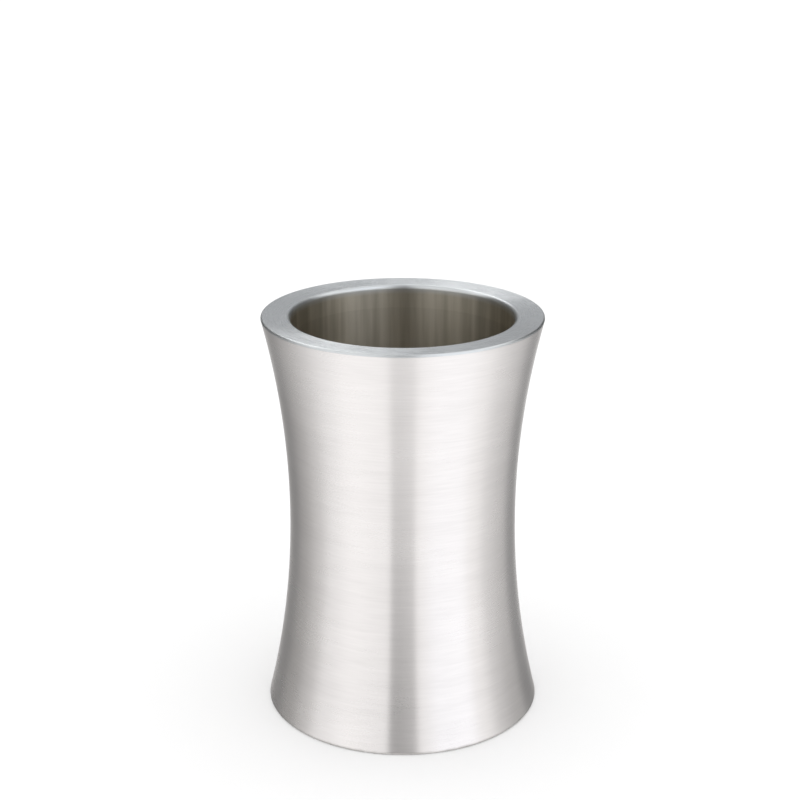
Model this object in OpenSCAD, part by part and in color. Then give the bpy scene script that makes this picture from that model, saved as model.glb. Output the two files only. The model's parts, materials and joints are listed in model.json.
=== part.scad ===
/* [Overall] */
// Height of the whole bucket
bucket_h = 200; // [180:1:230]
// Diameter of the side arc where it meets the top and the bottom plane
end_d = 136.2; // [132:0.2:146]
// Outside diameter at the narrowest point of the waist
waist_d = 111.4; // [111:0.2:116]

/* [Outer shell] */
// Sheet thickness of the brushed sleeve
shell_t = 0.8; // [0.6:0.1:0.9]
// Outside radius of the bend where the sleeve turns in under the foot
foot_bend_r = 1; // [1:0.1:2]
// Radius of the opening that the turned-in foot leaves underneath
foot_inner_r = 57; // [55:0.5:60]
// Angle covered by the bead along the sleeve's lengthwise seam, in degrees
seam_deg = 2.4; // [1:0.2:5]
// Height of that bead above the sleeve's inside face
seam_proud = 0.2; // [0.1:0.1:0.3]

/* [Rim] */
// Sheet thickness of the polished rim ring
rim_t = 0.8; // [0.6:0.1:0.8]
// Radius of the rim's outer corner
rim_corner_r = 0.9; // [0.9:0.1:1.2]
// Slope of the rim's face, down towards the well, in degrees
rim_dish_deg = 2; // [1:0.2:3]
// Radius with which the rim rolls over into the well
rim_roll_r = 2; // [2:0.5:4]
// Height of the rim's outer lip, from the top of the rim to the sleeve
rim_lip_h = 1.2; // [1.1:0.1:1.4]
// Height of the rim's neck, from the top of the rim to the liner
rim_neck_h = 12; // [8:1:20]
// Radius of the fine groove along the joint of rim and sleeve
joint_groove_r = 0.1; // [0.08:0.01:0.15]

/* [Liner] */
// Inside diameter of the well that holds the bottle
well_d = 107.6; // [103:0.2:108]
// Sheet thickness of the liner
liner_t = 0.6; // [0.5:0.1:0.7]
// Height of the liner's floor above the table
floor_z = 10; // [9:0.5:16]
// Inside radius between the liner's wall and its floor
floor_bend_r = 9; // [4:0.5:12]

/* [Base plate] */
// Sheet thickness of the base plate
base_t = 0.8; // [0.6:0.1:1]
// Height that the plate's middle is pressed up above its edge
base_recess_h = 3; // [2.6:0.1:3.6]
// Radius of the raised middle
base_panel_r = 51; // [48:0.5:52]
// Inside radius of the two bends of the step
base_bend_r = 1.2; // [1.1:0.1:1.3]
// Radius of the circle that the stiffening bead runs on
base_bead_at_r = 41; // [39:0.5:45]
// Radius of the stiffening bead's section
base_bead_r = 1.4; // [1:0.1:1.6]
// Diameter of the vent hole in the middle
vent_d = 5; // [4:0.5:6]

/* [Small parts] */
// Radius of the weld beads at the rim and at the neck
weld_r = 0.7; // [0.4:0.1:0.8]
// Radius of the weld fillet round the base plate
base_weld_r = 0.7; // [0.4:0.1:0.7]
// Outside radius of the damping pad under the liner's floor
pad_outer_r = 34; // [25:1:36]
// Radius of the hole in the middle of the pad
pad_hole_r = 9; // [7:0.5:12]
// Diameter of the two heads of the vent plug
plug_head_d = 9; // [7:0.5:10]
// Thickness of each head of the vent plug
plug_head_t = 1.2; // [0.8:0.1:1.5]
// Radius on the edge of the plug's outer head
plug_edge_r = 0.5; // [0.2:0.1:0.6]

/* [Hidden] */
$fn = 180;
side_fn = 1080;
small_fn = 48;
// How far a shape reaches past the edge that trims it.
beyond = 4;
cut_over = 1;
// Gap between the end of the seam's bead and the base plate.
seam_gap = 1;
// The angle on the turntable that faces away from the front.
back_deg = 90;
// Angle between two flats of a weld bead.
flat_deg = 30;

end_r = end_d / 2;
waist_r = waist_d / 2;
well_r = well_d / 2;

// The side is one arc, tangent to the waist circle half way up.
waist_z = bucket_h / 2;
sag = end_r - waist_r;
side_r = (waist_z * waist_z + sag * sag) / (2 * sag);
side_c = [waist_r + side_r, waist_z];

// Radius of the side at height z, moved in by inset from the outside.
function side_at(z, inset) = side_c.x - sqrt(pow(side_r + inset, 2) - pow(z - side_c.y, 2));

// Direction from a point inside the side arc to the point of the arc nearest to it.
function to_side(p) = (side_c - p) / norm(side_c - p);

// Centres of the foot's bend and of the rim's outer corner, both tangent to the side.
foot_c = [side_at(foot_bend_r, foot_bend_r), foot_bend_r];
corner_z = bucket_h - rim_corner_r;
corner_c = [side_at(corner_z, rim_corner_r), corner_z];

// The rim's face is a line tangent to its outer corner and to the roll into the well.
face_up = [-sin(rim_dish_deg), cos(rim_dish_deg)];
face_in = [-cos(rim_dish_deg), -sin(rim_dish_deg)];
roll_drop = rim_corner_r - rim_roll_r;
roll_run = (corner_c.x + roll_drop * face_up.x - well_r - rim_roll_r) / cos(rim_dish_deg);
roll_c = corner_c + roll_drop * face_up + roll_run * face_in;

lip_z = bucket_h - rim_lip_h;
neck_z = bucket_h - rim_neck_h;
mid_rim_r = (well_r + end_r) / 2;
between_walls_r = (well_r + waist_r) / 2;
panel_z = shell_t + base_recess_h;
panel_top_z = panel_z + base_t;
plate_edge_r = foot_c.x - shell_t;
pad_top_z = floor_z - liner_t;
seam_low_z = shell_t + base_t + seam_gap;
seam_high_z = lip_z - weld_r;

// Section of the air outside the side, grown inwards by inset.
module side_air(inset) {
    translate(side_c) circle(r = side_r + inset, $fn = side_fn);
}

// Section between the well and the outside, with every face moved in by inset.
module jacket(inset) {
    difference() {
        polygon([
            [well_r + inset, inset],
            [foot_c.x, inset],
            foot_c,
            foot_c + beyond * to_side(foot_c),
            corner_c + beyond * to_side(corner_c),
            corner_c,
            corner_c + (rim_corner_r - inset) * face_up,
            roll_c + (rim_roll_r - inset) * face_up,
            roll_c,
            [well_r + inset, roll_c.y],
        ]);
        side_air(inset);
    }
    translate(foot_c) circle(r = foot_bend_r - inset);
    translate(corner_c) circle(r = rim_corner_r - inset);
    translate(roll_c) circle(r = rim_roll_r - inset);
}

// Section of a sheet of thickness t that covers the whole jacket.
module sheet(t) {
    difference() {
        jacket(0);
        jacket(t);
    }
}

// Section of the groove, centred on the joint of rim and sleeve.
module joint_groove_section() {
    translate([side_at(lip_z, 0), lip_z]) circle(r = joint_groove_r, $fn = small_fn);
}

// Section of the jacket's sheet from the joint with the sleeve to the joint with the liner.
module rim_section() {
    difference() {
        sheet(rim_t);
        square([mid_rim_r, neck_z]);
        translate([mid_rim_r, 0]) square([end_r, lip_z]);
        joint_groove_section();
    }
}

// Section of the well, grown outwards by out.
module well_section(out) {
    bend_at_r = well_r - floor_bend_r;
    bend_at_z = floor_z + floor_bend_r;
    translate([0, floor_z - out]) square([bend_at_r, floor_bend_r + out]);
    translate([0, bend_at_z]) square([well_r + out, neck_z - bend_at_z]);
    translate([bend_at_r, bend_at_z]) intersection() {
        circle(r = floor_bend_r + out);
        translate([0, -floor_bend_r - out]) square(floor_bend_r + out);
    }
}

// Section of everything under the base plate's face, where up is 0 for its lower
// face and the sheet's thickness for its upper one.
module under_plate(up) {
    bend_out = [base_panel_r - base_bend_r, panel_z - base_bend_r];
    bend_in = [base_panel_r + base_bend_r + base_t, shell_t + base_bend_r + base_t];
    square([plate_edge_r, shell_t + up]);
    square([bend_out.x, panel_z + up]);
    square([base_panel_r + up, bend_out.y]);
    translate(bend_out) circle(r = base_bend_r + up);
    difference() {
        square(bend_in);
        translate(bend_in) circle(r = base_bend_r + base_t - up);
    }
    translate([base_bead_at_r, panel_z]) circle(r = base_bead_r + up);
}

// Section of a weld bead of radius r in the corner at a point, between the directions
// of the two faces that it joins. Its face is a few flats.
module bead_section(at, r, along, down) {
    rounds = [for (a = [0:flat_deg:90]) at + r * (cos(a) * along + sin(a) * down)];
    polygon(concat([at], rounds));
}

// A waisted sleeve of brushed sheet, turned in at the bottom to make the standing ring.
module outer_shell() {
    color("silver") rotate_extrude() difference() {
        sheet(shell_t);
        translate([0, lip_z]) square([end_r + cut_over, rim_lip_h + cut_over]);
        square([between_walls_r, bucket_h]);
        translate([0, neck_z]) square([mid_rim_r, rim_neck_h]);
        square([foot_inner_r, shell_t + cut_over]);
        joint_groove_section();
    }
}

// A flat, slightly dished ring with a short lip outside and a rolled neck inside.
module rim_ring() {
    color("gainsboro") rotate_extrude() rim_section();
}

// A deep straight cup that carries the bottle.
module inner_liner() {
    color("darkgray") rotate_extrude() difference() {
        well_section(liner_t);
        well_section(0);
    }
}

// A pressed disc that lies on the turned-in foot and closes the bottom.
module base_plate() {
    color("lightgray") rotate_extrude() difference() {
        under_plate(base_t);
        under_plate(0);
        square([vent_d / 2, panel_top_z + cut_over]);
    }
}

// A soft ring between the base plate and the liner's floor.
module floor_pad() {
    color("dimgray") rotate_extrude()
        translate([pad_hole_r, panel_top_z])
            square([pad_outer_r - pad_hole_r, pad_top_z - panel_top_z]);
}

// A plug with a head on both sides of the base plate.
module vent_plug() {
    head_r = plug_head_d / 2;
    low_z = panel_z - plug_head_t;
    color("black") rotate_extrude() {
        translate([0, low_z]) square([head_r - plug_edge_r, plug_head_t]);
        translate([0, low_z + plug_edge_r]) square([head_r, plug_head_t - plug_edge_r]);
        translate([head_r - plug_edge_r, low_z + plug_edge_r]) circle(r = plug_edge_r, $fn = small_fn);
        translate([0, panel_z]) square([vent_d / 2, base_t]);
        translate([0, panel_top_z]) square([head_r, plug_head_t]);
    }
}

// The bead under the rim's corner that joins its lip to the sleeve, on the hidden side.
module rim_weld() {
    inner_r = rim_corner_r - rim_t;
    out = to_side(corner_c);
    down = [out.y, -out.x];
    color("gray") rotate_extrude() polygon([
        corner_c + inner_r * out,
        corner_c + inner_r * face_up,
        corner_c + inner_r * face_up + weld_r * face_in,
        corner_c + weld_r * (cos(flat_deg) * face_in + sin(flat_deg) * down),
        corner_c + weld_r * (sin(flat_deg) * face_in + cos(flat_deg) * down),
        corner_c + inner_r * out + weld_r * down,
    ]);
}

// The bead that joins the rim's neck to the liner, on the hidden side.
module neck_weld() {
    at = [well_r + liner_t, neck_z];
    color("gray") rotate_extrude() bead_section(at, weld_r, [1, 0], [0, -1]);
}

// The fillet that joins the foot's inner edge to the base plate, seen from below.
module base_weld() {
    at = [foot_inner_r, shell_t];
    color("gray") rotate_extrude() bead_section(at, base_weld_r, [-1, 0], [0, -1]);
}

// The bead along the sleeve's seam, at the back.
module seam_weld() {
    color("gray") rotate([0, 0, back_deg - seam_deg / 2]) rotate_extrude(angle = seam_deg) intersection() {
        difference() {
            side_air(shell_t + seam_proud);
            side_air(shell_t);
        }
        translate([between_walls_r, seam_low_z]) square([end_r, seam_high_z - seam_low_z]);
    }
}

outer_shell();
rim_ring();
inner_liner();
base_plate();
floor_pad();
vent_plug();
rim_weld();
neck_weld();
base_weld();
seam_weld();
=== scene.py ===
"""The waisted bottle bucket: turned sheet-metal pieces with their finishes, on a pale studio floor."""

import json
import math

import bpy
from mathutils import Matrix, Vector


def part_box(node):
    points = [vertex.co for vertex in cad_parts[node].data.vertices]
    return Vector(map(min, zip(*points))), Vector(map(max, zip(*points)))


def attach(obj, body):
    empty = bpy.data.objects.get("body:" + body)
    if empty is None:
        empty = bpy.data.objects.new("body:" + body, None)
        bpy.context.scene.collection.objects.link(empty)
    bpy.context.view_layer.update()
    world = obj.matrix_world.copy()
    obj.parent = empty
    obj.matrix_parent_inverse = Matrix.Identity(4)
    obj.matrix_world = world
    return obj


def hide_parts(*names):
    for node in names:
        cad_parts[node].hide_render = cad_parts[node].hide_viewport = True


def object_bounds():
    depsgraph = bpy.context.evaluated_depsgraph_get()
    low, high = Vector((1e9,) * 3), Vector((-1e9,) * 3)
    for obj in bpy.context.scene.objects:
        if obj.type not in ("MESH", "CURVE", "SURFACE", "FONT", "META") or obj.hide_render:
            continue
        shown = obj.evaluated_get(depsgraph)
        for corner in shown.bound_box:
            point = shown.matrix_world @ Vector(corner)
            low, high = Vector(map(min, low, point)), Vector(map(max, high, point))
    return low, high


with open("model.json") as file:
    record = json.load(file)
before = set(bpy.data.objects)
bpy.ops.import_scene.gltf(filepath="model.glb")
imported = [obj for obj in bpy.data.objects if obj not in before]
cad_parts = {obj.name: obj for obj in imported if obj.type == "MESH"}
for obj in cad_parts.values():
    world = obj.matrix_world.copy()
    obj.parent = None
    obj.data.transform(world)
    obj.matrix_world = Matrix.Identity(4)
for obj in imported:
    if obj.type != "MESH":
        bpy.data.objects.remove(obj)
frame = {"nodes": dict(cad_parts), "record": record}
cad_low, cad_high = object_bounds()
mounts = {m["name"]: m for m in frame["record"]["mounts"]}
scene = bpy.context.scene

MM = 0.001

# The facets of the CAD's curves cut a little off its outline, so the side keeps this far inside.
INSIDE_BY = 0.002 * MM

# Sheet metal and small parts, where no box shows the size.
END_R = 68.1 * MM - INSIDE_BY
WAIST_R = 55.7 * MM
SHELL_T = 0.8 * MM
FOOT_BEND_R = 1.0 * MM
FOOT_INNER_R = 57.0 * MM
RIM_T = 0.8 * MM
RIM_CORNER_R = 0.9 * MM
RIM_DISH = math.radians(2.0)
RIM_ROLL_R = 2.0 * MM
LINER_T = 0.6 * MM
FLOOR_BEND_R = 9.0 * MM
PLATE_T = 0.8 * MM
PANEL_R = 51.0 * MM
STEP_BEND_R = 1.2 * MM
BEAD_AT_R = 41.0 * MM
BEAD_H = 1.4 * MM
BEAD_HALF_W = 2.4 * MM
VENT_R = 2.5 * MM
PLUG_HEAD_R = 4.5 * MM
PLUG_HEAD_T = 1.2 * MM
PLUG_EDGE_R = 0.5 * MM
WELD_R = 0.7 * MM
EDGE_R = 0.1 * MM

# Heights and radii that the frame gives.
HEIGHT = cad_high.z
LIP_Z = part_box("outer_shell")[1].z
NECK_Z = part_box("rim_ring")[0].z
FLOOR_Z = mounts["bottle_seat"]["pos_m"][2]
WELL_R = mounts["bottle_well"]["dims"]["r_mm"] * MM
PLUG_LOW_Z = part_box("vent_plug")[0].z
PLUG_HIGH_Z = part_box("vent_plug")[1].z
PLATE_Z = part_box("base_plate")[0].z
PANEL_Z = PLUG_HIGH_Z - PLUG_HEAD_T - PLATE_T

TURNS = 360


# ---- Sections and turned pieces ----
#
# A section is a list of runs. A run is a list of (r, z, normal r, normal z), and it goes with the
# material on its left, so that its normal points to its right.


def line(a, b, steps=1):
    """A straight run from point a to point b."""
    dr, dz = b[0] - a[0], b[1] - a[1]
    n = math.hypot(dr, dz)
    return [(a[0] + dr * i / steps, a[1] + dz * i / steps, dz / n, -dr / n) for i in range(steps + 1)]


def arc(centre, radius, start, end, steps):
    """A round run about a centre, from one angle to another. Clockwise makes a hollow."""
    side = 1 if end > start else -1
    run = []
    for i in range(steps + 1):
        a = start + (end - start) * i / steps
        c, s = math.cos(a), math.sin(a)
        run.append((centre[0] + radius * c, centre[1] + radius * s, side * c, side * s))
    return run


def wave(start_r, end_r, height_at, slope_at, face, steps):
    """A run over height_at(r), whose face looks up where face is 1 and down where it is -1."""
    run = []
    for i in range(steps + 1):
        r = start_r + (end_r - start_r) * i / steps
        slope = slope_at(r)
        n = math.hypot(slope, 1)
        run.append((r, height_at(r), -face * slope / n, face / n))
    return run


def turned(name, section, material, node):
    """Turns a section about the axis into a piece that stands for a CAD node."""
    places, verts = {}, []

    def ring(r, z):
        key = (round(r * 1e8), round(z * 1e8))
        if key not in places:
            places[key] = (len(verts), r < 1e-8)
            count = 1 if r < 1e-8 else TURNS
            for k in range(count):
                a = 2 * math.pi * k / TURNS
                verts.append((r * math.cos(a), r * math.sin(a), z))
        return places[key]

    faces, normals = [], []
    for run in section:
        for p, q in zip(run, run[1:]):
            (i, i_axis), (j, j_axis) = ring(p[0], p[1]), ring(q[0], q[1])
            if i == j:
                continue
            for k in range(TURNS):
                k2 = (k + 1) % TURNS
                corners = [(i + (0 if i_axis else k), p, k)]
                if not i_axis:
                    corners.append((i + k2, p, k2))
                corners.append((j + (0 if j_axis else k2), q, k2))
                if not j_axis:
                    corners.append((j + k, q, k))
                faces.append([c[0] for c in corners])
                for _, point, turn in corners:
                    a = 2 * math.pi * turn / TURNS
                    normals.append((point[2] * math.cos(a), point[2] * math.sin(a), point[3]))

    mesh = bpy.data.meshes.new(name)
    mesh.from_pydata(verts, [], faces)
    mesh.polygons.foreach_set("use_smooth", [True] * len(faces))
    mesh.normals_split_custom_set(normals)
    mesh.materials.append(material)
    piece = bpy.data.objects.new(name, mesh)
    scene.collection.objects.link(piece)
    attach(piece, "root")
    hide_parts(node)
    return piece


# ---- The jacket's outline, from the driving sizes ----

SIDE_C_Z = HEIGHT / 2
SAG = END_R - WAIST_R
SIDE_R = (SIDE_C_Z**2 + SAG**2) / (2 * SAG)
SIDE_C = (WAIST_R + SIDE_R, SIDE_C_Z)


def side_at(z, inset=0.0):
    """Radius of the side at height z, moved in by inset."""
    return SIDE_C[0] - math.sqrt((SIDE_R + inset) ** 2 - (z - SIDE_C_Z) ** 2)


def side_angle(z, inset=0.0):
    """Angle about the side arc's centre of the point at height z, between 90 and 270 degrees."""
    return math.pi - math.asin((z - SIDE_C_Z) / (SIDE_R + inset))


def to_side(p):
    """Direction, as an angle, from a corner's centre to the side arc."""
    return math.atan2(SIDE_C[1] - p[1], SIDE_C[0] - p[0])


def side(z_from, z_to, inset, steps):
    """A run along the side: the outer face goes up, and the inner one down."""
    return arc(SIDE_C, SIDE_R + inset, side_angle(z_from, inset), side_angle(z_to, inset), steps)


FOOT_C = (side_at(FOOT_BEND_R, FOOT_BEND_R), FOOT_BEND_R)
CORNER_Z = HEIGHT - RIM_CORNER_R
CORNER_C = (side_at(CORNER_Z, RIM_CORNER_R), CORNER_Z)
FACE_UP = (-math.sin(RIM_DISH), math.cos(RIM_DISH))
ROLL_DROP = RIM_CORNER_R - RIM_ROLL_R
ROLL_C_R = WELL_R + RIM_ROLL_R
ROLL_RUN = (CORNER_C[0] + ROLL_DROP * FACE_UP[0] - ROLL_C_R) / math.cos(RIM_DISH)
ROLL_C = (ROLL_C_R, CORNER_C[1] + ROLL_DROP * FACE_UP[1] - ROLL_RUN * math.sin(RIM_DISH))
FACE_ANGLE = math.pi / 2 + RIM_DISH


def tip(centre, radius, angle):
    """The point at this distance and angle from a centre."""
    return (centre[0] + radius * math.cos(angle), centre[1] + radius * math.sin(angle))


def end_of(run):
    return run[-1][:2]


def start_of(run):
    return run[0][:2]


def joined(*runs):
    """The runs in order, with a straight run wherever one doesn't start at the last one's end."""
    section = []
    for run in runs:
        if section and math.dist(end_of(section[-1]), start_of(run)) > 1e-7:
            section.append(line(end_of(section[-1]), start_of(run)))
        section.append(run)
    return section


def closed(*runs):
    """The runs joined, with a straight run back to the start wherever there is a gap."""
    section = joined(*runs)
    if math.dist(end_of(section[-1]), start_of(section[0])) > 1e-7:
        section.append(line(end_of(section[-1]), start_of(section[0])))
    return section


def sleeve_section():
    """The brushed sleeve, from the turned-in foot up to the groove under the rim."""
    foot_turn = to_side(FOOT_C)
    foot_top_z = tip(FOOT_C, FOOT_BEND_R, foot_turn)[1]
    inner_foot_z = tip(FOOT_C, FOOT_BEND_R - SHELL_T, foot_turn)[1]
    edge_z = LIP_Z - EDGE_R
    edge_c = (side_at(edge_z, EDGE_R), edge_z)
    return closed(
        line((FOOT_INNER_R, 0), (FOOT_C[0], 0), 4),
        arc(FOOT_C, FOOT_BEND_R, -math.pi / 2, foot_turn, 16),
        side(foot_top_z, tip(edge_c, EDGE_R, to_side(edge_c))[1], 0, 96),
        arc(edge_c, EDGE_R, to_side(edge_c), math.pi / 2, 6),
        side(LIP_Z, inner_foot_z, SHELL_T, 48),
        arc(FOOT_C, FOOT_BEND_R - SHELL_T, foot_turn, -math.pi / 2, 4),
        line((FOOT_C[0], SHELL_T), (FOOT_INNER_R, SHELL_T)),
    )


def rim_section():
    """The polished rim, from its lip over the corner, the dished face and the roll to the neck."""
    edge_z = LIP_Z + EDGE_R
    edge_c = (side_at(edge_z, EDGE_R), edge_z)
    corner_turn = to_side(CORNER_C)
    face_end = tip(ROLL_C, RIM_ROLL_R, FACE_ANGLE)
    inner_corner_r, inner_roll_r = RIM_CORNER_R - RIM_T, RIM_ROLL_R - RIM_T
    return closed(
        arc(edge_c, EDGE_R, -math.pi / 2, to_side(edge_c), 6),
        side(tip(edge_c, EDGE_R, to_side(edge_c))[1], tip(CORNER_C, RIM_CORNER_R, corner_turn)[1], 0, 2),
        arc(CORNER_C, RIM_CORNER_R, corner_turn, FACE_ANGLE, 20),
        line(tip(CORNER_C, RIM_CORNER_R, FACE_ANGLE), face_end, 8),
        arc(ROLL_C, RIM_ROLL_R, FACE_ANGLE, math.pi, 24),
        line((WELL_R, ROLL_C[1]), (WELL_R, NECK_Z), 2),
        line((WELL_R, NECK_Z), (WELL_R + RIM_T, NECK_Z)),
        line((WELL_R + RIM_T, NECK_Z), (WELL_R + RIM_T, ROLL_C[1])),
        arc(ROLL_C, inner_roll_r, math.pi, FACE_ANGLE, 12),
        arc(CORNER_C, inner_corner_r, FACE_ANGLE, corner_turn, 4),
        side(tip(CORNER_C, inner_corner_r, corner_turn)[1], LIP_Z, RIM_T, 2),
    )


def liner_section():
    """The straight cup. Both ends of its section lie on the axis."""
    bend_c = (WELL_R - FLOOR_BEND_R, FLOOR_Z + FLOOR_BEND_R)
    outer_bend_r = FLOOR_BEND_R + LINER_T
    return joined(
        line((0, FLOOR_Z - LINER_T), (bend_c[0], FLOOR_Z - LINER_T), 6),
        arc(bend_c, outer_bend_r, -math.pi / 2, 0, 16),
        line((WELL_R + LINER_T, bend_c[1]), (WELL_R + LINER_T, NECK_Z), 8),
        line((WELL_R + LINER_T, NECK_Z), (WELL_R, NECK_Z)),
        line((WELL_R, NECK_Z), (WELL_R, bend_c[1]), 24),
        arc(bend_c, FLOOR_BEND_R, 0, -math.pi / 2, 24),
        line((bend_c[0], FLOOR_Z), (0, FLOOR_Z), 12),
    )


def plate_section():
    """The pressed base plate with its stiffening bead and its step down to the foot."""

    def bead(base_z):
        """Height and slope of the bead's wave over a face at base_z."""

        def height_at(r):
            return base_z + BEAD_H * (1 + math.cos(math.pi * (r - BEAD_AT_R) / BEAD_HALF_W)) / 2

        def slope_at(r):
            wave_k = math.pi / BEAD_HALF_W
            return -BEAD_H * wave_k * math.sin(wave_k * (r - BEAD_AT_R)) / 2

        return height_at, slope_at

    low, high = bead(PANEL_Z), bead(PANEL_Z + PLATE_T)
    bead_in, bead_out = BEAD_AT_R - BEAD_HALF_W, BEAD_AT_R + BEAD_HALF_W
    out_c = (PANEL_R - STEP_BEND_R, PANEL_Z - STEP_BEND_R)
    wide_r = STEP_BEND_R + PLATE_T
    in_c = (PANEL_R + wide_r, PLATE_Z + wide_r)
    edge_r = FOOT_C[0] - SHELL_T
    return closed(
        line((VENT_R, PANEL_Z), (bead_in, PANEL_Z), 6),
        wave(bead_in, bead_out, *low, -1, 24),
        line((bead_out, PANEL_Z), (out_c[0], PANEL_Z)),
        arc(out_c, STEP_BEND_R, math.pi / 2, 0, 10),
        arc(in_c, wide_r, math.pi, math.pi * 1.5, 14),
        line((in_c[0], PLATE_Z), (edge_r, PLATE_Z), 2),
        line((edge_r, PLATE_Z), (edge_r, PLATE_Z + PLATE_T)),
        line((edge_r, PLATE_Z + PLATE_T), (in_c[0], PLATE_Z + PLATE_T), 2),
        arc(in_c, STEP_BEND_R, math.pi * 1.5, math.pi, 10),
        arc(out_c, wide_r, 0, math.pi / 2, 14),
        wave(bead_out, bead_in, *high, 1, 24),
        line((bead_in, PANEL_Z + PLATE_T), (VENT_R, PANEL_Z + PLATE_T), 6),
    )


def plug_section():
    """The vent plug: a softly domed head below the plate, its stem, and a head above."""
    low_z = PLUG_LOW_Z
    plate_top_z = PANEL_Z + PLATE_T
    dome_h = 0.3 * MM
    flat_r = PLUG_HEAD_R - PLUG_EDGE_R
    edge_low = (flat_r, low_z + dome_h + PLUG_EDGE_R)
    edge_high = (flat_r, PLUG_HIGH_Z - PLUG_EDGE_R)
    dome_r = (flat_r**2 + dome_h**2) / (2 * dome_h)
    dome_turn = math.asin(flat_r / dome_r)
    dome_c = (0, low_z + dome_r)
    return joined(
        arc(dome_c, dome_r, -math.pi / 2, -math.pi / 2 + dome_turn, 10),
        arc(edge_low, PLUG_EDGE_R, -math.pi / 2, 0, 8),
        line((PLUG_HEAD_R, edge_low[1]), (PLUG_HEAD_R, PANEL_Z)),
        line((PLUG_HEAD_R, PANEL_Z), (VENT_R, PANEL_Z)),
        line((VENT_R, PANEL_Z), (VENT_R, plate_top_z)),
        line((VENT_R, plate_top_z), (PLUG_HEAD_R, plate_top_z)),
        line((PLUG_HEAD_R, plate_top_z), (PLUG_HEAD_R, edge_high[1])),
        arc(edge_high, PLUG_EDGE_R, 0, math.pi / 2, 8),
        line((flat_r, PLUG_HIGH_Z), (0, PLUG_HIGH_Z), 2),
    )


def foot_weld_section():
    """The bead between the foot's inner edge and the base plate, slightly crowned."""
    return closed(
        arc((FOOT_INNER_R, PLATE_Z), WELD_R, math.pi, math.pi * 1.5, 8),
        line((FOOT_INNER_R, PLATE_Z - WELD_R), (FOOT_INNER_R, PLATE_Z)),
        line((FOOT_INNER_R, PLATE_Z), (FOOT_INNER_R - WELD_R, PLATE_Z)),
    )


# ---- Materials ----

# The rim's face is finely turned. Its roll grows softer from ROLL_TOP_Z down to ROLL_SOFT_Z, and
# from NECK_FACE_Z down to NECK_SATIN_Z it goes over into the liner's finish and its painted shade.
ROLL_TOP_Z = ROLL_C[1] + RIM_ROLL_R * math.cos(RIM_DISH)
ROLL_SOFT_Z = ROLL_C[1] + 0.93 * RIM_ROLL_R
NECK_FACE_Z = ROLL_C[1] + 1.0 * MM
NECK_SATIN_Z = ROLL_C[1] - 2.5 * MM

# Width and length of the marks that deep drawing leaves up the well's wall.
DRAW_MARK_SIZE = (5 * MM, 90 * MM)
# Roughness of the liner, which the rim's neck meets in the middle.
LINER_ROUGH = (0.34, 0.44)
# Share of a turn from the tangent, which runs round the axis, to the way reflections draw out.
BRUSH_TURN = 0.25


class Nodes:
    """A short way to build a node tree."""

    def __init__(self, tree):
        self.tree = tree

    def node(self, kind, **values):
        made = self.tree.nodes.new("ShaderNode" + kind)
        for key, value in values.items():
            setattr(made, key, value)
        return made

    def put(self, value, socket):
        if isinstance(value, bpy.types.NodeSocket):
            self.tree.links.new(value, socket)
        else:
            socket.default_value = value

    def link(self, kind, *values, **settings):
        """A node of this kind with its inputs filled in order, where None leaves one alone."""
        made = self.node(kind, **settings)
        for value, socket in zip(values, made.inputs):
            if value is not None:
                self.put(value, socket)
        return made.outputs

    def math(self, operation, a, b=0.0, c=0.0):
        made = self.node("Math", operation=operation)
        for value, socket in zip((a, b, c), made.inputs):
            self.put(value, socket)
        return made.outputs[0]

    def noise(self, vector, detail=2.0, roughness=0.5, scale=1.0):
        made = self.node("TexNoise")
        self.put(vector, made.inputs["Vector"])
        made.inputs["Scale"].default_value = scale
        made.inputs["Detail"].default_value = detail
        made.inputs["Roughness"].default_value = roughness
        return made.outputs["Fac"]

    def spread(self, value, low, high, to_low, to_high):
        """Maps low..high to to_low..to_high, held at both ends."""
        made = self.node("MapRange", clamp=True)
        for v, socket in zip((value, low, high, to_low, to_high), made.inputs):
            self.put(v, socket)
        return made.outputs[0]

    def mix(self, factor, a, b):
        made = self.node("Mix", data_type="RGBA")
        self.put(factor, made.inputs[0])
        self.put((*a, 1) if isinstance(a, tuple) else a, made.inputs[6])
        self.put((*b, 1) if isinstance(b, tuple) else b, made.inputs[7])
        return made.outputs[2]


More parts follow.
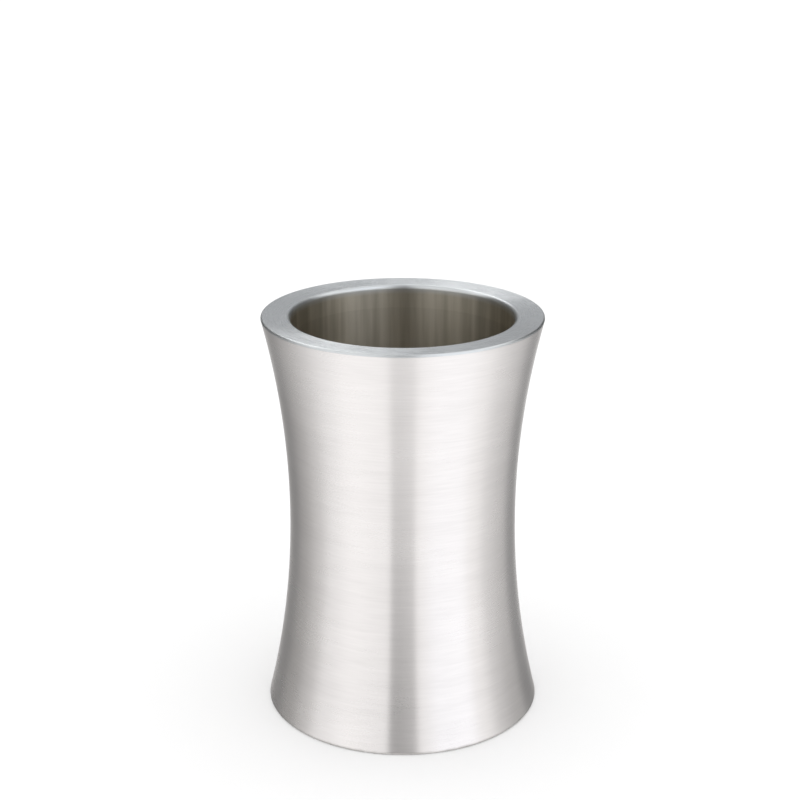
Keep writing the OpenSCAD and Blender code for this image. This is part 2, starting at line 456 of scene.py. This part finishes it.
class Metal(Nodes):
    """A material: its node tree, its shader and the place on the object."""

    def __init__(self, name):
        self.material = bpy.data.materials.new(name)
        self.material.use_nodes = True
        super().__init__(self.material.node_tree)
        self.shader = self.tree.nodes["Principled BSDF"]
        self.place = self.node("TexCoord").outputs["Object"]

    def parts(self):
        """The x, y and z of the place."""
        return self.link("SeparateXYZ", self.place)

    def height(self):
        return self.parts()[2]

    def radius(self):
        x, y, _ = self.parts()
        return self.math("SQRT", self.math("ADD", self.math("MULTIPLY", x, x), self.math("MULTIPLY", y, y)))

    def draw_marks(self):
        """Noise drawn out upwards, as upright streaks."""
        width, length = DRAW_MARK_SIZE
        scaled = self.node("Mapping")
        self.put(self.place, scaled.inputs["Vector"])
        scaled.inputs["Scale"].default_value = (1 / width, 1 / width, 1 / length)
        return self.noise(scaled.outputs[0], 3, 0.5)

    def hairlines(self, length, width, detail=2.0, roughness=0.5):
        """Noise drawn out round the axis: streaks of this length and width, in metres."""
        x, y, z = self.parts()
        across = self.math("ADD", z, self.radius())
        drawn_out = self.link(
            "CombineXYZ",
            self.math("DIVIDE", x, length),
            self.math("DIVIDE", y, length),
            self.math("DIVIDE", across, width),
        )
        return self.noise(drawn_out[0], detail, roughness)

    def bump(self, height, distance, strength=1.0, after=None):
        made = self.node("Bump")
        made.inputs["Strength"].default_value = strength
        made.inputs["Distance"].default_value = distance
        self.put(height, made.inputs["Height"])
        if after is not None:
            self.put(after, made.inputs["Normal"])
        return made.outputs[0]

    def set(self, **values):
        """Sets the shader's sockets; an underscore stands for a space."""
        for key, value in values.items():
            socket = self.shader.inputs[key.replace("_", " ").title().replace("Ior", "IOR")]
            self.put((*value, 1) if isinstance(value, tuple) else value, socket)
        return self.material

    def turned_metal(self, colour, roughness, anisotropic, normal):
        """Metal brushed or turned round the axis: reflections draw out across the lines."""
        tangent = self.node("Tangent", direction_type="RADIAL", axis="Z")
        return self.set(
            base_color=colour,
            metallic=1.0,
            roughness=roughness,
            anisotropic=anisotropic,
            anisotropic_rotation=BRUSH_TURN,
            tangent=tangent.outputs[0],
            normal=normal,
        )


def brushed_steel():
    """Satin brushing round the body, with painted shade darkening it where it stands on the table."""
    n = Metal("brushed_sleeve")
    fine = n.hairlines(13 * MM, 0.9 * MM, 1, 0.5)
    broad = n.hairlines(26 * MM, 2.2 * MM, 1, 0.5)
    soft = n.hairlines(50 * MM, 7 * MM, 2, 0.5)
    cloud = n.noise(n.place, 4, 0.6, 160)
    bloom = n.noise(n.place, 2, 0.5, 26)
    streak = n.math("ADD", n.math("MULTIPLY", fine, 0.55), n.math("MULTIPLY", broad, 0.45))
    tone = n.math("ADD", n.math("MULTIPLY", streak, 0.7), n.math("MULTIPLY", soft, 0.3))
    plain_colour = n.mix(n.spread(tone, 0.34, 0.66, 0.0, 1.0), (0.648, 0.626, 0.618), (0.710, 0.686, 0.678))
    # Painted shade: in the lowest couple of millimetres, with a ragged edge, the colour darkens to a dark
    # grey that stands in for the contact shadow the foot's bend mirrors.
    uneven_height = n.math("ADD", n.height(), n.math("MULTIPLY", cloud, 1.4 * MM))
    scuffs_and_painted_shade = n.spread(uneven_height, 0.9 * MM, 2.4 * MM, 1.0, 0.0)
    colour = n.mix(scuffs_and_painted_shade, plain_colour, (0.300, 0.288, 0.276))
    rough = n.math("ADD", n.spread(streak, 0.3, 0.7, 0.27, 0.30), n.spread(bloom, 0.3, 0.7, -0.02, 0.02))
    relief = n.math("ADD", n.math("MULTIPLY", fine, 0.5), broad)
    return n.turned_metal(colour, rough, 1.0, n.bump(relief, 0.003 * MM))


def polished_steel():
    """Fine turning on the face and the roll, which goes over into the liner's satin and its painted shade
    down the neck.
    """
    n = Metal("polished_rim")
    marks = n.hairlines(25 * MM, 0.12 * MM, 2, 0.6)
    haze = n.noise(n.place, 3, 0.55, 60)
    down_neck = n.spread(n.height(), NECK_SATIN_Z, NECK_FACE_Z, 1.0, 0.0)
    face = n.mix(n.spread(haze, 0.35, 0.65, 0.0, 1.0), (0.635, 0.656, 0.668), (0.670, 0.692, 0.703))
    drawn = n.spread(n.draw_marks(), 0.35, 0.65, 0.0, 1.0)
    # Painted shade: down the neck the colour turns to the liner's darker, warmer grey.
    neck = n.mix(drawn, (0.430, 0.396, 0.325), (0.600, 0.558, 0.472))
    colour = n.mix(down_neck, face, neck)
    # The roll and the outer corner are rougher than the face.
    down_roll = n.spread(n.height(), ROLL_SOFT_Z, ROLL_TOP_Z, 0.10, 0.0)
    down_corner = n.spread(n.radius(), CORNER_C[0], CORNER_C[0] + 0.4 * RIM_CORNER_R, 0.0, 0.12)
    clean_rough = n.math("ADD", n.spread(marks, 0.35, 0.75, 0.24, 0.30), n.spread(haze, 0.3, 0.7, 0.0, 0.04))
    face_rough = n.math("ADD", clean_rough, n.math("ADD", down_corner, down_roll))
    rough = n.spread(down_neck, 0.0, 1.0, face_rough, sum(LINER_ROUGH) / 2)
    return n.turned_metal(colour, rough, 0.85, n.bump(marks, 0.0006 * MM, 1.0, n.bump(haze, 0.02 * MM)))


def satin_steel():
    """Satin in the well, made darker and warmer with painted shade and a painted warm reflection: upright
    draw marks on the wall, turned lines on the floor.
    """
    n = Metal("satin_liner")
    lines = n.hairlines(18 * MM, 0.3 * MM, 3, 0.6)
    waves = n.hairlines(200 * MM, 5 * MM, 2, 0.5)
    cloud = n.noise(n.place, 3, 0.5, 24)
    tone = n.math("ADD", n.math("MULTIPLY", lines, 0.5), n.math("MULTIPLY", cloud, 0.5))
    up_wall = n.spread(n.height(), FLOOR_Z, FLOOR_Z + FLOOR_BEND_R, 0.0, 1.0)
    drawn = n.spread(n.spread(up_wall, 0.0, 1.0, lines, n.draw_marks()), 0.35, 0.65, 0.0, 1.0)
    # Painted shade and a painted warm reflection: the well's colour is a darker, warmer grey than the
    # sleeve's steel, varied by the draw marks.
    colour = n.mix(drawn, (0.400, 0.366, 0.300), (0.560, 0.520, 0.440))
    rough = n.spread(tone, 0.3, 0.7, *LINER_ROUGH)
    return n.turned_metal(colour, rough, 0.85, n.bump(lines, 0.003 * MM, 1.0, n.bump(waves, 0.03 * MM)))


def pressed_steel():
    """The mill finish under the base, scuffed in patches."""
    n = Metal("pressed_base")
    lines = n.hairlines(22 * MM, 0.35 * MM, 3, 0.6)
    grain = n.noise(n.place, 4, 0.6, 900)
    scuffs_and_painted_shade = n.noise(n.place, 4, 0.7, 130)
    tone = n.math("ADD", n.math("MULTIPLY", lines, 0.6), n.math("MULTIPLY", grain, 0.4))
    plain_colour = n.mix(n.spread(tone, 0.35, 0.65, 0.0, 1.0), (0.500, 0.492, 0.478), (0.600, 0.592, 0.578))
    colour = n.mix(n.spread(scuffs_and_painted_shade, 0.60, 0.74, 0.0, 0.5), plain_colour, (0.400, 0.390, 0.375))
    rough = n.math("ADD", n.spread(tone, 0.3, 0.7, 0.30, 0.42), n.spread(scuffs_and_painted_shade, 0.5, 0.7, 0.0, 0.12))
    return n.turned_metal(colour, rough, 0.6, n.bump(lines, 0.004 * MM, 1.0, n.bump(grain, 0.004 * MM)))


def weld_metal():
    """Dressed weld metal with fine ripples and patches of straw-coloured heat tint."""
    n = Metal("weld_bead")
    ripples = n.noise(n.place, 2, 0.5, 1300)
    heat = n.noise(n.place, 3, 0.5, 90)
    colour = n.mix(n.spread(heat, 0.42, 0.62, 0.0, 1.0), (0.450, 0.440, 0.425), (0.440, 0.385, 0.300))
    return n.set(
        base_color=colour,
        metallic=1.0,
        roughness=n.spread(ripples, 0.3, 0.7, 0.32, 0.5),
        normal=n.bump(ripples, 0.08 * MM),
    )


def moulded_rubber(name, shade, grain_size, depth):
    """Matt grey rubber with a moulded grain and a little pale dust."""
    n = Metal(name)
    grain = n.noise(n.place, 3, 0.6, 1 / grain_size)
    dust = n.noise(n.place, 3, 0.6, 70)
    return n.set(
        base_color=n.mix(n.spread(dust, 0.4, 0.75, 0.0, 1.0), (shade,) * 3, (shade * 1.9,) * 3),
        roughness=n.spread(grain, 0.3, 0.7, 0.55, 0.8),
        specular_ior_level=0.4,
        normal=n.bump(grain, depth),
    )


# ---- The object ----

weld = weld_metal()
plug_rubber = moulded_rubber("plug_rubber", 0.022, 0.5 * MM, 0.01 * MM)
pad_rubber = moulded_rubber("pad_rubber", 0.035, 0.8 * MM, 0.15 * MM)
turned("sleeve", sleeve_section(), brushed_steel(), "outer_shell")
turned("rim", rim_section(), polished_steel(), "rim_ring")
turned("liner", liner_section(), satin_steel(), "inner_liner")
turned("base_disc", plate_section(), pressed_steel(), "base_plate")
turned("vent_cap", plug_section(), plug_rubber, "vent_plug")
turned("foot_weld", foot_weld_section(), weld, "base_weld")

# What is inside the double wall stays as the CAD's own solids.
inner_finishes = {"floor_pad": pad_rubber, "rim_weld": weld, "neck_weld": weld, "seam_weld": weld}
for node, material in inner_finishes.items():
    mesh = frame["nodes"][node].data
    mesh.materials.clear()
    mesh.materials.append(material)


# ---- Studio: floor, light and camera ----

# What the metal sees around it: azimuth in degrees from the front to the right, brightness and
# warmth.
STUDIO_WALLS = (
    (-180, 1.02, -0.03),
    (-174, 1.02, -0.02),
    (-160, 1.05, 0.02),
    (-149, 0.20, 0.06),
    (-132, 0.10, 0.07),
    (-114, 0.41, 0.06),
    (-92, 0.74, 0.02),
    (-72, 1.30, 0.00),
    (-50, 1.52, 0.00),
    (-13.5, 1.28, 0.00),
    (-9.5, 0.23, 0.01),
    (9.5, 0.43, 0.01),
    (15, 1.36, 0.00),
    (34, 1.70, -0.04),
    (58, 1.80, -0.04),
    (72, 1.38, 0.00),
    (92, 0.76, 0.01),
    (116, 0.67, 0.03),
    (131, 0.04, 0.07),
    (149, 0.08, 0.06),
    (160, 1.50, 0.02),
    (174, 1.02, -0.02),
    (180, 1.02, -0.03),
)
# The walls grow dimmer upwards, from the first of these sines of the elevation to the second.
DIM_FROM, DIM_TO = -0.4, -0.1
DIM_SHARE = 0.85
# At the sides and behind they dim further towards the horizon.
LOW_FROM, LOW_TO = -0.14, 0.0
LOW_SHARE = 0.6
LOW_FRONT_Y, LOW_SIDE_Y = -0.3, 0.2
# The pale table fills in what lies below, bright in front of the bucket and dim behind it. Its
# brightness turns a little to the right, by this share of x.
TABLE_FRONT, TABLE_BACK = 1.46, 0.55
TABLE_FRONT_Y, TABLE_BACK_Y = -0.29, 0.91
TABLE_TURN = 0.2
# The share of the view that it takes far down, and the sines of the elevations where it starts
# and where it reaches that.
TABLE_SHARE = 0.85
TABLE_FROM, TABLE_TO = 0.0, -0.5
# High up behind the bucket it is even, dim on the left and bright on the right.
UPPER_FROM, UPPER_TO = 0.52, 0.66
UPPER_FRONT_Y, UPPER_BACK_Y = -0.15, 0.1
UPPER_LEFT, UPPER_RIGHT = 0.8, 1.0
UPPER_LEFT_X, UPPER_RIGHT_X = -0.4, 0.4
# Behind the bucket the room is dark between the table and the backdrop, which hangs low in the
# middle and leaves more of the dark open to both sides.
GAP_LEVEL = 0.10
GAP_LOW, GAP_HIGH, GAP_SIDE_HIGH = 0.03, 0.12, 0.55
GAP_MIDDLE_X, GAP_SIDE_X = 0.18, 0.42
GAP_FADE = 0.08
GAP_FROM_Y, GAP_TO_Y = 0.1, 0.35
# A soft box hangs behind on the left: its direction, and the cosines where it fades in.
BOX_AT = (-0.165, 0.79, 0.590)
BOX_FROM, BOX_TO = 0.978, 0.995
BOX_LEVEL = 3.6
# A lamp hangs on either side: the direction of the right one, and the cosines.
LAMP_AT = (0.72, 0.14, 0.68)
LAMP_FROM, LAMP_TO = 0.972, 0.992
LAMP_LEVEL = 2.2
ROOM_LIGHT = 1.25
BACKDROP = (0.97, 0.97, 0.97)
FLOOR_COLOUR = (0.88, 0.88, 0.88)
FLOOR_SIZE = 14.0


def ramp(nodes, value, stops):
    """A soft colour ramp through (place from 0 to 1, colour) stops."""
    made = nodes.node("ValToRGB")
    nodes.put(value, made.inputs[0])
    made.color_ramp.interpolation = "EASE"
    elements = made.color_ramp.elements
    while len(elements) > 1:
        elements.remove(elements[-1])
    for i, (at, colour) in enumerate(stops):
        stop = elements[0] if i == 0 else elements.new(at)
        stop.position = at
        stop.color = (*colour, 1)
    return made.outputs[0]


def tinted(level, warmth):
    """A grey of this level, turned towards red by its warmth."""
    return (level * (1 + warmth / 2), level, level * (1 - warmth))


def walls_in_metal(n, x, y, z):
    """The walls round the bucket, dimmer upwards and towards the horizon at the sides."""
    turn = n.math("ARCTAN2", x, n.math("MULTIPLY", y, -1.0))
    round_place = n.math("MULTIPLY_ADD", turn, 1 / (2 * math.pi), 0.5)
    stops = [(0.5 + azimuth / 360, tinted(level, warmth)) for azimuth, level, warmth in STUDIO_WALLS]
    walls = ramp(n, round_place, stops)
    low_share = n.spread(y, LOW_FRONT_Y, LOW_SIDE_Y, 1.0, LOW_SHARE)
    low = n.spread(z, LOW_FROM, LOW_TO, 1.0, low_share)
    dim = n.math("MULTIPLY", n.spread(z, DIM_FROM, DIM_TO, 1.0, DIM_SHARE), low)
    return n.link("VectorMath", walls, None, None, dim, operation="SCALE")[0]


# Each of these lays one more area over what is seen so far in the direction x, y, z.


def with_table(n, seen, x, y, z):
    turned_y = n.math("SUBTRACT", y, n.math("MULTIPLY", x, TABLE_TURN))
    table = n.spread(turned_y, TABLE_FRONT_Y, TABLE_BACK_Y, TABLE_FRONT, TABLE_BACK)
    return n.mix(n.spread(z, TABLE_FROM, TABLE_TO, 0.0, TABLE_SHARE), seen, table)


def with_upper_room(n, seen, x, y, z):
    upper = n.spread(x, UPPER_LEFT_X, UPPER_RIGHT_X, UPPER_LEFT, UPPER_RIGHT)
    high = n.spread(z, UPPER_FROM, UPPER_TO, 0.0, 1.0)
    behind = n.spread(y, UPPER_FRONT_Y, UPPER_BACK_Y, 0.0, 1.0)
    return n.mix(n.math("MULTIPLY", high, behind), seen, upper)


def with_dark_gap(n, seen, x, y, z):
    above_low = n.spread(z, GAP_LOW - GAP_FADE, GAP_LOW, 0.0, 1.0)
    gap_high = n.spread(n.math("ABSOLUTE", x), GAP_MIDDLE_X, GAP_SIDE_X, GAP_HIGH, GAP_SIDE_HIGH)
    below_high = n.spread(n.math("SUBTRACT", z, gap_high), 0.0, GAP_FADE, 1.0, 0.0)
    far_off = n.spread(y, GAP_FROM_Y, GAP_TO_Y, 0.0, 1.0)
    gap = n.math("MULTIPLY", n.math("MULTIPLY", above_low, below_high), far_off)
    return n.mix(gap, seen, (GAP_LEVEL,) * 3)


def with_light(n, seen, direction, towards, cos_from, cos_to, level):
    """Adds a round soft light in the direction towards."""
    cosine = n.link("VectorMath", direction, towards, operation="DOT_PRODUCT")[1]
    return n.mix(n.spread(cosine, cos_from, cos_to, 0.0, 1.0), seen, (level,) * 3)


def studio_light():
    """A world of three looks: the studio in the metal, even light, and the backdrop behind."""
    world = bpy.data.worlds.new("studio")
    scene.world = world
    world.use_nodes = True
    world.node_tree.nodes.clear()
    # What lights the object is even, so rays aren't aimed at the studio's bright areas.
    world.cycles.sampling_method = "NONE"
    n = Nodes(world.node_tree)

    direction = n.node("TexCoord").outputs["Generated"]
    x, y, z = n.link("SeparateXYZ", direction)
    mirrored = n.link("CombineXYZ", n.math("ABSOLUTE", x), y, z)[0]
    seen = walls_in_metal(n, x, y, z)
    seen = with_table(n, seen, x, y, z)
    seen = with_upper_room(n, seen, x, y, z)
    seen = with_dark_gap(n, seen, x, y, z)
    seen = with_light(n, seen, mirrored, LAMP_AT, LAMP_FROM, LAMP_TO, LAMP_LEVEL)
    seen = with_light(n, seen, direction, BOX_AT, BOX_FROM, BOX_TO, BOX_LEVEL)

    seen_in_metal = n.link("Background", seen)[0]
    room = n.link("Background", (ROOM_LIGHT, ROOM_LIGHT, ROOM_LIGHT, 1))[0]
    backdrop = n.link("Background", (*BACKDROP, 1))[0]
    path = n.node("LightPath").outputs
    lit = n.link("MixShader", path["Is Glossy Ray"], room, seen_in_metal)[0]
    n.link("OutputWorld", n.link("MixShader", path["Is Camera Ray"], lit, backdrop)[0])


def pale_floor():
    """A wide pale floor that the metal doesn't mirror, because the studio has its own table."""
    n = Metal("studio_floor")
    grain = n.noise(n.place, 2, 0.5, 40)
    shade = n.mix(grain, tuple(0.995 * c for c in FLOOR_COLOUR), FLOOR_COLOUR)
    material = n.set(base_color=shade, roughness=0.9, specular_ior_level=0.0)
    half = FLOOR_SIZE / 2
    corners = [(-half, -half, 0), (half, -half, 0), (half, half, 0), (-half, half, 0)]
    mesh = bpy.data.meshes.new("floor")
    mesh.from_pydata(corners, [], [(0, 1, 2, 3)])
    mesh.materials.append(material)
    floor = bpy.data.objects.new("floor", mesh)
    scene.collection.objects.link(floor)
    floor.visible_glossy = False


# The camera stands in front and looks down a little, as far off as the photograph's perspective
# asks.
CAMERA_AWAY = 790.5 * MM
CAMERA_UP = 423.3 * MM
CAMERA_LEFT = 1.3 * MM
CAMERA_PITCH = math.radians(18.663)
CAMERA_LENS = 77.27
CAMERA_SENSOR = 36.0


def camera():
    data = bpy.data.cameras.new("camera")
    data.lens = CAMERA_LENS
    data.sensor_width = CAMERA_SENSOR
    made = bpy.data.objects.new("camera", data)
    made.location = (-CAMERA_LEFT, -CAMERA_AWAY, CAMERA_UP)
    made.rotation_euler = (math.pi / 2 - CAMERA_PITCH, 0, 0)
    scene.collection.objects.link(made)
    scene.camera = made


studio_light()
pale_floor()
camera()
scene.view_settings.view_transform = "Standard"
scene.cycles.use_denoising = True
scene.cycles.glossy_bounces = 12
